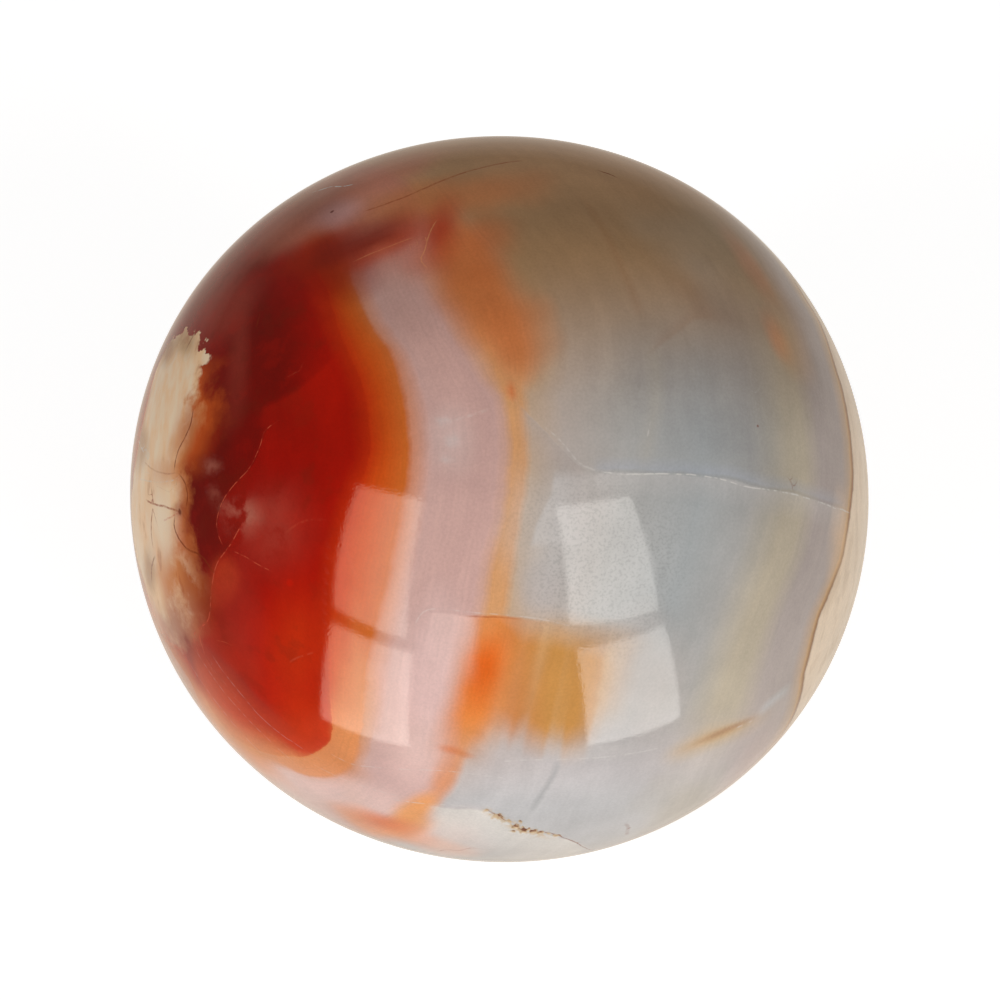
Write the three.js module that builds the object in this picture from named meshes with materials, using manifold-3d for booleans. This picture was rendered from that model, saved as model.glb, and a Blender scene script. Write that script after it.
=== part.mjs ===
// A ball of carnelian agate, cut and polished from one piece of stone.
// It was lapped by hand, so its girth is a little out of round, and a small flat
// is ground on its underside, which keeps it where it is set down.
// Millimetres, +Z up. The ball's centre stands on the Z axis, and the flat is at z = 0.
import * as THREE from "three";
import { mergeVertices } from "three/addons/utils/BufferGeometryUtils.js";
import Module from "manifold-3d";

const meanRadius = 31;
const flatRadius = 5.5;
const facetRows = 19; // rows of facets along each edge of the icosahedron that the ball starts from

// The girth lies square to an axis that leans this far up from the front, -Y.
const girthAxisLean = THREE.MathUtils.degToRad(46);

// How far the girth swells in two, three and four lobes, as a share of the radius,
// and where each first swelling is, counted from +X up over the top.
const girthLobes = [
  { count: 2, swell: 0.009, startsAt: THREE.MathUtils.degToRad(-11) },
  { count: 3, swell: 0.0026, startsAt: THREE.MathUtils.degToRad(47.6) },
  { count: 4, swell: 0.0022, startsAt: THREE.MathUtils.degToRad(-42.2) },
];

const girthRight = new THREE.Vector3(1, 0, 0);
const girthUp = new THREE.Vector3(0, Math.sin(girthAxisLean), Math.cos(girthAxisLean));
const straightDown = new THREE.Vector3(0, 0, -1);
const centreHeight = Math.sqrt(radiusAlong(straightDown) ** 2 - flatRadius ** 2);

const wasm = await Module();
wasm.setup();

// The ball's radius along a direction of length 1. Each lobe fades from the girth to the two ends of its axis.
function radiusAlong(direction) {
  const right = direction.dot(girthRight);
  const up = direction.dot(girthUp);
  const awayFromAxis = Math.hypot(right, up);
  const around = Math.atan2(up, right);
  let share = 1;
  for (const { count, swell, startsAt } of girthLobes)
    share += swell * awayFromAxis ** count * Math.cos(count * (around - startsAt));
  return meanRadius * share;
}

// A solid with closed faces, from a geometry whose shared vertices are merged.
function solidOf(geometry) {
  geometry.deleteAttribute("normal");
  geometry.deleteAttribute("uv");
  const merged = mergeVertices(geometry);
  return new wasm.Manifold(
    new wasm.Mesh({
      numProp: 3,
      vertProperties: merged.attributes.position.array,
      triVerts: new Uint32Array(merged.index.array),
    }),
  );
}

function geometryOf(solid) {
  const mesh = solid.getMesh();
  const geometry = new THREE.BufferGeometry();
  geometry.setAttribute("position", new THREE.BufferAttribute(mesh.vertProperties, 3));
  geometry.setIndex(new THREE.BufferAttribute(mesh.triVerts, 1));
  geometry.computeVertexNormals();
  return geometry;
}

// A turn that brings one of the icosahedron's twelve corners straight down. Its facets then lie
// evenly round the flat, which gives the flat an even edge.
function cornerDown() {
  const firstCorner = new THREE.Vector3().fromBufferAttribute(
    new THREE.IcosahedronGeometry(1).getAttribute("position"),
    0,
  );
  return new THREE.Quaternion().setFromUnitVectors(firstCorner.normalize(), straightDown);
}

// The lapped ball: every corner of a fine icosahedron is moved out to the ball's own radius.
function lappedBall() {
  const geometry = new THREE.IcosahedronGeometry(1, facetRows - 1);
  geometry.applyQuaternion(cornerDown());
  const corners = geometry.getAttribute("position");
  const corner = new THREE.Vector3();
  for (let i = 0; i < corners.count; i++) {
    corner.fromBufferAttribute(corners, i).normalize();
    corner.multiplyScalar(radiusAlong(corner));
    corners.setXYZ(i, corner.x, corner.y, corner.z + centreHeight);
  }
  return solidOf(geometry);
}

// The stone that grinding the flat takes away: a block from z = 0 down, wider than the ball.
function groundAway() {
  const side = 3 * meanRadius;
  return solidOf(new THREE.BoxGeometry(side, side, side).translate(0, 0, -side / 2));
}

const carnelian = new THREE.MeshStandardMaterial({ color: 0xb5643c, roughness: 0.08, metalness: 0 });

const sphere = new THREE.Mesh(geometryOf(lappedBall().subtract(groundAway())), carnelian);
sphere.name = "carnelian_sphere";

const part = new THREE.Group();
part.add(sphere);

export default part;
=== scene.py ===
import math

import bpy
import numpy as np
from mathutils import Euler, Matrix


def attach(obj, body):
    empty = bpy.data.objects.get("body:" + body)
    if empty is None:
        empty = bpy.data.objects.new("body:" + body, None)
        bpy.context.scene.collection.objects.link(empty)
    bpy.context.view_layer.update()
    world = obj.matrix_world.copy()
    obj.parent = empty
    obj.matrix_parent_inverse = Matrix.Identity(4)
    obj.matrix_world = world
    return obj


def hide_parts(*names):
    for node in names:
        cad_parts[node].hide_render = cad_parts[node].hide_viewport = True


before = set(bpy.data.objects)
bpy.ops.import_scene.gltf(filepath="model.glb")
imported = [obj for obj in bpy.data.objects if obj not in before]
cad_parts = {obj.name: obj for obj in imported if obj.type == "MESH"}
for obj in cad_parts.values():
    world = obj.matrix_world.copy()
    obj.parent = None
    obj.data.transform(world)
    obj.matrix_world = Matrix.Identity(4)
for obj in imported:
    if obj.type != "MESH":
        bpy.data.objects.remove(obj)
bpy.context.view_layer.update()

# The ball as it was lapped. The lobes repeat the solid's, so both have one outline.
ball = {
    "radius": 0.031,
    "flatRadius": 0.0055,
    "girthLean": math.radians(46),  # how far the girth's axis, and the camera, stand up from the front
    # how many lobes, how far they swell, and where the first one is, in degrees
    "lobes": [(2, 0.009, -11), (3, 0.0026, 47.6), (4, 0.0022, -42.2)],
    "inside": 0.9994,  # keeps the smooth ball inside the facets' box
    "edgeRound": 0.00012,  # how softly the flat's edge is broken
    "ripple": 0.000006,  # height of the waves that the lap leaves in the polish
    "rippleWaves": {"seed": 3, "count": 4, "longest": 0.8, "shortest": 0.3},
    "rings": 262,
    "sectors": 360,
    "finest": 0.00009,  # distance between the rings at the pitted seam
    "ringGrowth": 1.6,  # power by which that distance grows away from the seam
    "flatBelow": -0.5,  # the flat cuts only the directions that point this far down
}
lean = ball["girthLean"]
faceRight = np.array([1.0, 0.0, 0.0])
faceUp = np.array([0.0, math.sin(lean), math.cos(lean)])
faceOut = np.array([0.0, -math.cos(lean), math.sin(lean)])

# How the photograph is framed, in its 1000 pixels.
view = {
    "pixels": 1000,
    "centre": (500.0, 498.5),
    "ballRadius": 367.2,
    "lens": 150.0,
    "sensor": 36.0,
    "farthest": 20,  # metres
}
pixelsPerSlope = view["lens"] / view["sensor"] * view["pixels"]
cameraAway = 1 / math.sin(math.atan(view["ballRadius"] / pixelsPerSlope))  # in ball radii


def radiusAlong(direction):
    # mean radius * (1 + the sum over the lobes), where a lobe is
    # swell * distance from the girth's axis ^ count * cos(count * (angle - start))
    right = direction @ faceRight
    up = direction @ faceUp
    awayFromAxis = np.hypot(right, up)
    around = np.arctan2(up, right)
    share = np.ones_like(right)
    for count, swell, start in ball["lobes"]:
        share = share + swell * awayFromAxis**count * np.cos(count * (around - math.radians(start)))
    return ball["radius"] * share


straightDown = np.array([[0.0, 0.0, -1.0]])
centreHeight = math.sqrt(radiusAlong(straightDown)[0] ** 2 - ball["flatRadius"] ** 2)
ballCentre = np.array([0, 0, centreHeight])
cameraPlace = faceOut * cameraAway * ball["radius"] + ballCentre


def onFace(x, y):
    # where the camera's ray through pixel x, y meets a ball of radius 1: right, up and out of the face
    across, down = x - view["centre"][0], y - view["centre"][1]
    slope = np.array([across / pixelsPerSlope, -down / pixelsPerSlope, -1.0])
    ray = slope / np.linalg.norm(slope)
    towards = cameraAway * ray[2]
    reach = -towards - math.sqrt(max(towards**2 - cameraAway**2 + 1, 0))
    return np.array([0.0, 0.0, cameraAway]) + reach * ray


def outwardAt(x, y):
    # the same place as a direction out of the ball's centre
    right, up, out = onFace(x, y)
    return right * faceRight + up * faceUp + out * faceOut


def makeCamera():
    data = bpy.data.cameras.new("camera")
    data.lens = view["lens"]
    data.sensor_width = view["sensor"]
    data.shift_y = (view["centre"][1] - view["pixels"] / 2) / view["pixels"]
    data.clip_end = view["farthest"]
    camera = bpy.data.objects.new("camera", data)
    camera.location = cameraPlace
    camera.rotation_euler = (math.pi / 2 - lean, 0, 0)
    bpy.context.collection.objects.link(camera)
    bpy.context.scene.camera = camera


makeCamera()
print("camera set", round(cameraAway * ball["radius"], 3), "m from the ball")


def ballSurface():
    # rings round the pitted seam and sectors across them, where a ring's distance from the seam is
    # first * share + (pi - first) * share ^ ringGrowth
    pole = outwardAt(*seamPixel)
    pole /= np.linalg.norm(pole)
    side = np.cross(pole, faceOut)
    side /= np.linalg.norm(side)
    across = np.cross(pole, side)
    share = np.linspace(0, 1, ball["rings"] + 1)
    first = ball["finest"] / ball["radius"] * ball["rings"]
    fromSeam = first * share + (math.pi - first) * share ** ball["ringGrowth"]
    around = np.linspace(0, 2 * math.pi, ball["sectors"], endpoint=False)
    ringAngle, sectorAngle = np.meshgrid(fromSeam[1:-1], around, indexing="ij")
    ringAngle, sectorAngle = ringAngle.ravel(), sectorAngle.ravel()
    outward = (np.cos(ringAngle)[:, None] * pole + (np.sin(ringAngle) * np.cos(sectorAngle))[:, None] * side
               + (np.sin(ringAngle) * np.sin(sectorAngle))[:, None] * across)
    return np.vstack([pole, outward, -pole])


def softMinimum(first, second, width):
    # the smaller of two values, rounded over where they are within width of each other
    blend = np.clip(0.5 + 0.5 * (second - first) / width, 0, 1)
    return second + (first - second) * blend - width * blend * (1 - blend)


def ballFaces():
    sectors, rings = ball["sectors"], ball["rings"] - 1
    corner = np.arange(rings * sectors).reshape(rings, sectors) + 1
    nextCorner = np.roll(corner, -1, axis=1)
    quads = np.stack([corner[:-1], corner[1:], nextCorner[1:], nextCorner[:-1]], axis=-1).reshape(-1, 4)
    last = rings * sectors + 1
    firstFan = np.stack([np.zeros(sectors, int), corner[0], nextCorner[0]], axis=-1)
    lastFan = np.stack([np.full(sectors, last), nextCorner[-1], corner[-1]], axis=-1)
    return quads.tolist() + firstFan.tolist() + lastFan.tolist()


# Colours of the stone in plain white light, as screen values from 0 to 255.
stoneTones = {
    "maroon": (112, 12, 5),
    "deepRed": (142, 6, 2),
    "red": (168, 16, 3),
    "scarlet": (196, 24, 3),
    "orangeRed": (196, 52, 10),
    "border": (203, 80, 20),
    "borderLight": (205, 104, 38),
    "blush": (212, 148, 122),
    "rose": (208, 168, 159),
    "salmon": (228, 146, 118),
    "peach": (226, 140, 84),
    "peachBright": (252, 160, 104),
    "palePink": (250, 214, 204),
    "chalk": (236, 230, 222),
    "roseDark": (178, 120, 100),
    "greyDeep": (136, 137, 139),
    "heartEnd": (214, 56, 4),
    "ring": (238, 152, 92),
    "fire": (192, 48, 14),
    "orange": (222, 108, 48),
    "amber": (208, 116, 60),
    "flame": (226, 94, 14),
    "ochreDeep": (206, 142, 60),
    "honey": (217, 166, 106),
    "sand": (200, 170, 142),
    "greyWarm": (190, 177, 168),
    "grey": (181, 178, 174),
    "greyBlue": (177, 180, 180),
    "olive": (198, 185, 163),
    "lilac": (187, 174, 168),
    "tan": (172, 131, 86),
    "brown": (150, 92, 52),
    "milk": (212, 206, 202),
    "milkCool": (202, 205, 206),
    "paleLine": (226, 222, 216),
    "cream": (255, 213, 167),
    "creamPale": (255, 234, 204),
    "rust": (168, 72, 28),
    "mauve": (156, 62, 48),
    "caramel": (214, 124, 58),
    "soak": (200, 84, 28),
    "apricot": (218, 160, 110),
    "tail": (255, 172, 100),
    "halo": (232, 140, 66),
    "tanLight": (222, 172, 124),
    "roseLow": (226, 190, 184),
    "streakRed": (142, 32, 10),
    "milkyOrange": (224, 88, 44),
    "glint": (232, 190, 160),
    "glowLine": (206, 84, 58),
    "goldLine": (232, 158, 102),
    "greyLine": (160, 160, 160),
    "mistBlue": (178, 184, 198),
    "hair": (128, 50, 14),
    "wisp": (190, 118, 98),
    "emberLine": (206, 84, 58),
    "milkyRed": (174, 50, 36),
    "lilacPink": (222, 168, 162),
    "umber": (104, 34, 14),
    "rind": (248, 224, 196),
    "rindLine": (140, 92, 50),
    "gold": (206, 156, 98),
    "crumb": (216, 184, 138),
    "gleamRed": (255, 212, 190),
}


def tone(name):
    # the linear colour of a named tone, from its screen values
    shares = [value / 255 for value in stoneTones[name]]
    return tuple(s / 12.92 if s < 0.04045 else ((s + 0.055) / 1.055) ** 2.4 for s in shares) + (1.0,)


pixel = 1 / view["ballRadius"]  # one pixel of the photograph at the middle of the face, in ball radii

# Soft spots on the face: tone, cover, middle, half its width and height in pixels, degrees that it is turned
# against the clock, and the even share of it. The pale ones lie around the red heart, the red ones and the
# clouds inside it, and the last ones in the crust. Where the right box's reflection falls, a painted speckle
# darkens the grain, for the pitted polish that shows in that reflection; there only the cover counts.
softSpots = {
    "pale": [
        ("salmon", 0.90, (300, 222), (85, 30), 36, 0.3),
        ("salmon", 0.75, (370, 178), (95, 30), 22, 0.3),
        ("peach", 0.70, (400, 205), (65, 34), 18, 0.2),
        ("lilacPink", 0.80, (338, 213), (40, 22), 24, 0.1),
        ("orangeRed", 0.75, (318, 250), (72, 18), 27, 0.1),
        ("peach", 0.70, (480, 190), (90, 34), 8, 0.1),
        ("mauve", 0.80, (218, 268), (46, 60), -38, 0.2),
        ("umber", 0.46, (270, 240), (180, 44), 42, 0.1),
        ("mauve", 0.60, (250, 226), (190, 46), 45, 0.1),
        ("deepRed", 0.34, (318, 248), (120, 34), 25, 0.2),
        ("amber", 0.90, (480, 292), (54, 100), 27, 0.1),
        ("amber", 0.75, (514, 346), (44, 56), 10, 0.1),
        ("amber", 0.40, (424, 206), (60, 36), 10, 0.1),
        ("fire", 0.85, (441, 230), (34, 48), -14, 0.1),
        ("amber", 0.40, (466, 244), (34, 40), 0, 0.1),
        ("border", 0.60, (380, 246), (60, 16), 24, 0.2),
        ("flame", 0.50, (511, 391), (9, 15), 10, 0.1),
        ("peach", 0.55, (447, 770), (20, 54), -18, 0.3),
        ("deepRed", 0.70, (338, 271), (44, 46), 0, 0.1),
        ("orangeRed", 0.60, (402, 230), (52, 34), 25, 0.1),
        ("orange", 0.45, (486, 236), (52, 44), 0, 0.1),
        ("orange", 0.70, (268, 746), (56, 22), -30, 0.2),
        ("peach", 0.65, (318, 766), (70, 24), -10, 0.2),
        # these two pale pink spots are partly the stone's pale rim and partly painted light: the floor's
        # bounce light on the lower left limb
        ("palePink", 0.75, (275, 778), (120, 34), -40, 0.2),
        ("palePink", 0.60, (345, 800), (130, 40), -20, 0.2),
        ("peachBright", 0.90, (232, 738), (80, 24), -46, 0.2),
        ("honey", 0.30, (352, 700), (30, 120), 0, 0.2),
        ("palePink", 0.70, (440, 836), (70, 40), 0, 0.2),
        ("roseLow", 0.90, (430, 676), (44, 118), -6, 0.2),
        ("palePink", 0.50, (422, 752), (56, 52), 0, 0.1),
        ("greyWarm", 0.60, (645, 680), (70, 90), 10, 0.1),
        ("peachBright", 0.85, (376, 829), (60, 20), -17, 0.3),
        ("peachBright", 0.45, (432, 846), (64, 16), -14, 0.2),
        ("ring", 0.35, (440, 784), (18, 50), -28, 0.1),
        ("tail", 0.90, (414, 813), (46, 20), 38, 0.2),
        ("tail", 0.70, (406, 828), (44, 18), 10, 0.2),
        ("milkyOrange", 0.55, (388, 827), (42, 16), -12, 0.1),
        ("crumb", 0.60, (718, 735), (66, 16), 20, 0.1),
        ("gold", 0.55, (722, 732), (50, 8), 21, 0.1),
        ("brown", 0.45, (728, 728), (40, 4), 23, 0.2),
        ("milk", 0.50, (590, 752), (60, 14), 3, 0.1),
        ("milk", 0.45, (618, 629), (60, 14), 10, 0.1),
        ("orange", 0.50, (451, 751), (20, 7), -12, 0.1),
        ("amber", 0.40, (465, 756), (16, 6), -12, 0.1),
        ("orangeRed", 0.45, (341, 612), (18, 96), 3, 0.1),
        ("lilac", 0.60, (541, 588), (24, 36), 0, 0.3),
        ("sand", 0.60, (574, 633), (84, 24), -8, 0.2),
        ("brown", 0.16, (712, 296), (75, 44), -20, 0.1),
        ("peach", 0.55, (777, 340), (13, 34), 22, 0.1),
        ("orange", 0.34, (748, 262), (15, 60), 33, 0.1),
        ("milk", 0.20, (452, 440), (30, 44), 0, 0.1),
        ("greyDeep", 0.28, (735, 396), (115, 130), 0, 0.2),
        ("milkCool", 0.35, (545, 535), (50, 84), 0, 0.2),
        ("cream", 0.40, (839, 530), (15, 64), 0, 0.2),
        ("olive", 0.30, (716, 246), (100, 70), -40, 0.1),
        ("gold", 0.30, (790, 352), (24, 44), 12, 0.1),
        ("olive", 0.50, (686, 806), (60, 50), 30, 0.1),
        ("milk", 0.40, (443, 421), (9, 5), 20, 0.1),
        ("milk", 0.40, (452, 441), (7, 9), -30, 0.1),
        ("milk", 0.35, (446, 459), (8, 5), 10, 0.1),
    ],
    "red": [
        ("maroon", 0.80, (262, 350), (80, 120), 5, 0.2),
        ("maroon", 0.95, (208, 480), (52, 150), 3, 0.3),
        ("scarlet", 0.85, (285, 660), (100, 150), -20, 0.2),
        ("milkyRed", 0.60, (270, 530), (78, 74), 15, 0.1),
        ("red", 0.50, (340, 410), (52, 105), 8, 0.2),
        ("mauve", 0.75, (228, 305), (46, 72), -18, 0.2),
        ("mauve", 0.45, (241, 352), (17, 95), -4, 0.1),
        ("mauve", 0.50, (196, 650), (34, 70), 25, 0.1),
        ("milkyOrange", 0.30, (206, 640), (40, 90), 25, 0.1),
        ("milkyOrange", 0.70, (224, 578), (22, 34), 0, 0.2),
        ("orangeRed", 0.60, (304, 650), (54, 92), 0, 0.1),
        ("milkyRed", 0.60, (232, 612), (46, 84), 0, 0.1),
        ("maroon", 0.80, (272, 318), (5, 5), 0, 0.2),
        ("maroon", 0.80, (282, 327), (5, 5), 0, 0.2),
        ("maroon", 0.80, (262, 334), (6, 6), 0, 0.2),
    ],
    "cloud": [
        ("wisp", 0.90, (244, 518), (28, 36), -35, 0.1),
        ("wisp", 0.60, (230, 508), (22, 16), 0, 0.1),
        ("wisp", 0.45, (213, 467), (17, 12), 0, 0.1),
        ("wisp", 0.35, (216, 495), (13, 18), 0, 0.1),
        ("wisp", 0.12, (268, 522), (52, 60), 10, 0.0),
    ],
    # painted reflection speckle, where the right box's reflection falls on the face
    "paintedGleamSpeckle": [
        ("grey", 1.0, (607, 560), (96, 112), 8, 0.3),
    ],
    "crust": [
        ("caramel", 0.95, (184, 596), (50, 124), 10, 0.2),
        ("cream", 0.75, (158, 596), (13, 60), 14, 0.1),
        ("caramel", 0.80, (192, 510), (24, 110), -2, 0.2),
        ("caramel", 0.50, (188, 446), (14, 60), 0, 0.2),
        ("caramel", 0.60, (170, 474), (26, 18), 0, 0.1),
        ("soak", 0.60, (184, 534), (18, 36), 0, 0.2),
        ("rust", 0.90, (207, 585), (34, 110), 8, 0.2),
        ("rust", 0.60, (192, 500), (14, 90), -2, 0.2),
        ("creamPale", 0.80, (164, 524), (20, 66), 4, 0.1),
        ("brown", 0.85, (168, 344), (26, 44), 25, 0.2),
        ("rust", 0.80, (182, 510), (13, 13), 0, 0.2),
        ("brown", 0.55, (144, 443), (12, 34), 0, 0.2),
        ("brown", 0.60, (151, 572), (14, 44), 0, 0.2),
        ("tan", 0.80, (188, 343), (24, 28), 0, 0.1),
        ("roseDark", 0.75, (176, 634), (44, 56), 0, 0.2),
    ],
}


def waves(direction, seed, count, longest, shortest):
    # a sum of sine waves that run in random directions; each is as high as it is long, and all together are
    # 1 high
    random = np.random.default_rng(seed)
    ways = random.normal(size=(count, 3))
    ways /= np.linalg.norm(ways, axis=1)[:, None]
    lengths = np.geomspace(longest, shortest, count)
    starts = random.uniform(0, 2 * math.pi, count)
    return np.sin(2 * math.pi * (direction @ ways.T) / lengths + starts) @ (lengths / lengths.sum())


def faceAxes(direction, side):
    # right, up and out of the face, or of the back where side is -1
    return np.stack([direction @ faceRight, direction @ faceUp, side * (direction @ faceOut)], axis=1)


spotEdges = {
    "waves": {"seed": 5, "count": 6, "longest": 0.5, "shortest": 0.1},
    "uneven": 0.45,  # how far the waves move a spot's outline, as a share of its size
    "depth": 1.4,  # square of the depth, in ball radii, at which a spot ends
    "under": "rose",  # the tint where there is no spot
}
leastCover = 1e-6


def softTints(direction, spots):
    # every spot is 1 - smoothstep of the distance from its middle, measured in its own half width and height;
    # the spots are laid over each other in turn, and waves keep their outlines from being true ovals
    right, up, out = faceAxes(direction, 1).T
    uneven = 1 + spotEdges["uneven"] * waves(direction, **spotEdges["waves"])
    tint = np.tile(tone(spotEdges["under"])[:3], (len(direction), 1))
    cover = np.zeros(len(direction))
    for name, strength, at, size, turn, even in spots:
        middle = onFace(*at)
        turned = math.radians(turn)
        x, y = right - middle[0], up - middle[1]
        wide = (x * math.cos(turned) + y * math.sin(turned)) / (size[0] * pixel)
        tall = (y * math.cos(turned) - x * math.sin(turned)) / (size[1] * pixel)
        away = np.sqrt(wide**2 + tall**2 + (out - middle[2]) ** 2 / spotEdges["depth"]) * uneven
        share = np.clip((1 - away) / (1 - even), 0, 1)
        mask = strength * share * share * (3 - 2 * share)
        total = mask + cover * (1 - mask)
        blend = np.where(total > leastCover, mask / np.maximum(total, leastCover), 0)
        tint += (np.array(tone(name)[:3]) - tint) * blend[:, None]
        cover = total
    return tint, cover


# Fine lines by their tone: cover, half width in pixels, and the pixels that the line runs through. Those on
# the back are given as if the stone were clear.
fineLines = {
    "hair": {
        "face": [
            (0.9, 0.9, [(196, 408), (193, 424), (187, 438), (180, 452), (176, 472)]),
            (0.8, 0.9, [(181, 474), (187, 484), (189, 498), (187, 510)]),
            (0.7, 1.2, [(166, 352), (156, 378), (149, 405), (143, 432)]),
            (0.85, 1.0, [(177, 514), (176, 527), (182, 541), (190, 550), (203, 556), (215, 573)]),
            (0.7, 1.2, [(157, 556), (153, 568), (153, 582)]),
            (0.65, 1.2, [(199, 331), (193, 342), (187, 354)]),
            (0.95, 1.0, [(597, 167), (605, 170), (611, 172), (619, 176)]),
            (0.60, 0.8, [(787, 478), (791, 484), (792, 491)]),
            (0.60, 0.8, [(797, 479), (794, 486), (793, 491)]),
            (0.70, 0.9, [(536, 833), (548, 835), (560, 838), (575, 844), (593, 852)]),
            (0.55, 0.8, [(484, 811), (492, 815), (500, 820), (508, 824)]),
            (0.30, 2.0, [(627, 823), (629, 829), (628, 836)]),
            (0.40, 0.8, [(261, 313), (259, 322), (256, 331)]),
        ],
        "back": [
            (0.55, 1.0, [(420, 330), (445, 352), (480, 361), (520, 358), (548, 372)]),
            (0.45, 0.9, [(610, 560), (622, 590), (618, 624), (632, 650)]),
        ],
    },
    "rust": {
        "face": [
            (0.9, 1.1, [(154, 486), (155, 505), (153, 528), (155, 548)]),
            (0.8, 1.0, [(148, 500), (158, 505), (168, 507), (181, 511)]),
            (0.7, 1.1, [(183, 513), (191, 524), (197, 539), (197, 552)]),
            (0.35, 0.8, [(147, 462), (156, 470), (168, 474), (178, 473)]),
            (0.55, 1.3, [(362, 211), (384, 203), (402, 196), (424, 186), (445, 177), (466, 169), (492, 162),
                         (524, 157)]),
            (0.45, 0.9, [(436, 855), (446, 853), (457, 854), (470, 851), (481, 852)]),
            (0.45, 0.9, [(466, 617), (483, 617), (504, 618), (522, 619)]),
            (0.35, 0.9, [(840, 392), (846, 420), (849, 450), (851, 486), (847, 522)]),
        ],
        "back": [
            (0.60, 1.4, [(300, 600), (322, 570), (350, 558), (371, 530), (402, 520), (431, 497)]),
            (0.50, 1.1, [(560, 240), (590, 262), (634, 268), (660, 291)]),
        ],
    },
    "paleLine": {
        "face": [
            (1.00, 0.9, [(313, 191), (323, 188), (332, 185), (342, 185), (356, 182)]),
            (0.60, 0.8, [(141, 438), (144, 448), (150, 458), (153, 468)]),
            (0.45, 0.8, [(147, 436), (147, 447), (153, 456)]),
            (0.35, 0.8, [(142, 479), (158, 482), (172, 481), (180, 478)]),
            (0.28, 0.8, [(330, 755), (350, 765), (374, 769), (404, 771), (440, 772), (476, 776),
                         (524, 781)]),
            (0.18, 0.8, [(300, 758), (331, 776), (364, 789), (401, 799)]),
            (0.30, 1.0, [(500, 763), (530, 761), (562, 760), (610, 757), (662, 747)]),
            (0.40, 1.0, [(388, 801), (404, 804), (425, 806), (450, 807), (472, 809)]),
            (0.25, 0.7, [(414, 626), (422, 613), (436, 609), (464, 612), (486, 614), (513, 616), (545, 620),
                         (570, 626)]),
            (0.70, 0.7, [(600, 472), (622, 474), (640, 474), (674, 474), (708, 477), (724, 480), (742, 486),
                         (767, 490), (792, 494), (824, 504), (849, 513)]),
            (0.30, 0.9, [(545, 427), (561, 441), (573, 456), (584, 466), (600, 472)]),
            (0.35, 0.8, [(651, 415), (649, 428), (646, 440)]),
            (0.80, 1.1, [(735, 728), (738, 726), (742, 725)]),
            (0.80, 1.0, [(745, 722), (749, 721), (752, 719)]),
            (0.60, 1.0, [(752, 391), (756, 392), (759, 388)]),
            (0.20, 1.6, [(447, 424), (459, 419), (473, 414), (488, 409)]),
            (0.14, 0.8, [(190, 664), (214, 700), (248, 742), (296, 786), (346, 820), (401, 842),
                         (455, 856)]),
            (0.12, 0.8, [(196, 650), (222, 690), (262, 735), (310, 778), (350, 803)]),
            (0.12, 0.8, [(212, 655), (240, 694), (270, 727), (322, 762)]),
        ],
        "back": [
            (0.60, 0.9, [(360, 430), (400, 446), (452, 449), (500, 470), (540, 474), (601, 500)]),
            (0.40, 1.0, [(470, 640), (486, 668), (512, 690), (520, 722)]),
        ],
    },
    "goldLine": {
        "face": [
            (0.35, 0.7, [(414, 236), (400, 241), (385, 247), (370, 253), (353, 261)]),
            (0.60, 0.6, [(437, 218), (431, 228), (427, 240), (424, 250), (420, 259), (427, 268)]),
        ],
        "back": [],
    },
    "glowLine": {
        "face": [
            (0.80, 0.5, [(279, 421), (270, 427), (264, 434), (261, 446), (251, 467), (238, 481), (226, 497),
                         (219, 514), (218, 529), (223, 545)]),
            (0.70, 0.5, [(233, 551), (245, 556), (258, 564), (273, 572)]),
            (0.35, 0.9, [(288, 664), (298, 658), (316, 652)]),
            (0.80, 0.8, [(205, 622), (200, 634), (203, 648), (208, 662), (214, 674)]),
            (0.20, 1.1, [(285, 534), (296, 524), (312, 519), (330, 521)]),
        ],
        "back": [],
    },
    "emberLine": {
        "face": [
            (0.85, 0.55, [(243, 523), (231, 544), (218, 563), (213, 582), (209, 619), (198, 629),
                          (194, 638), (198, 651), (205, 668)]),
            (0.50, 0.5, [(216, 640), (224, 642), (233, 646)]),
            (0.25, 0.8, [(286, 378), (299, 371), (304, 362)]),
            (0.50, 0.9, [(164, 521), (172, 517), (181, 512)]),
        ],
        "back": [],
    },
}


lineShape = {
    "steps": 3,  # straight steps between two points
    "reach": 24,  # pixels from a line within which a vertex looks for it
    "endFade": 7,  # pixels over which it fades out towards its two ends
    "sideFade": (22, 10),  # pixels from it, between which its cover sets in
    "farAway": 99.0,
    "edge": (1.5, 0.4),  # half widths between which its tone sets in
    "waver": (0.3, 0.7, -0.9, 0.9),  # the blotches push it to one side or the other by this many half widths
    "breaks": (0.40, 0.60),  # crumbs between which it is broken or whole
    # the share of its cover that a line keeps where it is broken
    "keeps": {"hair": 0.6, "rust": 0.6, "goldLine": 0.6},
    "othersKeep": 0.1,
}


def throughPoints(points):
    # a smooth line through points: each stretch between two is a Catmull-Rom cubic
    ends = [2 * points[0] - points[1], 2 * points[-1] - points[-2]]
    knots = np.array([ends[0], *points, ends[1]])
    before, first, second, after = knots[:-3, None], knots[1:-2, None], knots[2:-1, None], knots[3:, None]
    t = (np.arange(lineShape["steps"]) / lineShape["steps"])[None, :, None]
    line = 0.5 * (2 * first + (second - before) * t + (2 * before - 5 * first + 4 * second - after) * t**2
                  + (3 * first - before - 3 * second + after) * t**3)
    return np.vstack([line.reshape(-1, 3), points[-1]])


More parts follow.
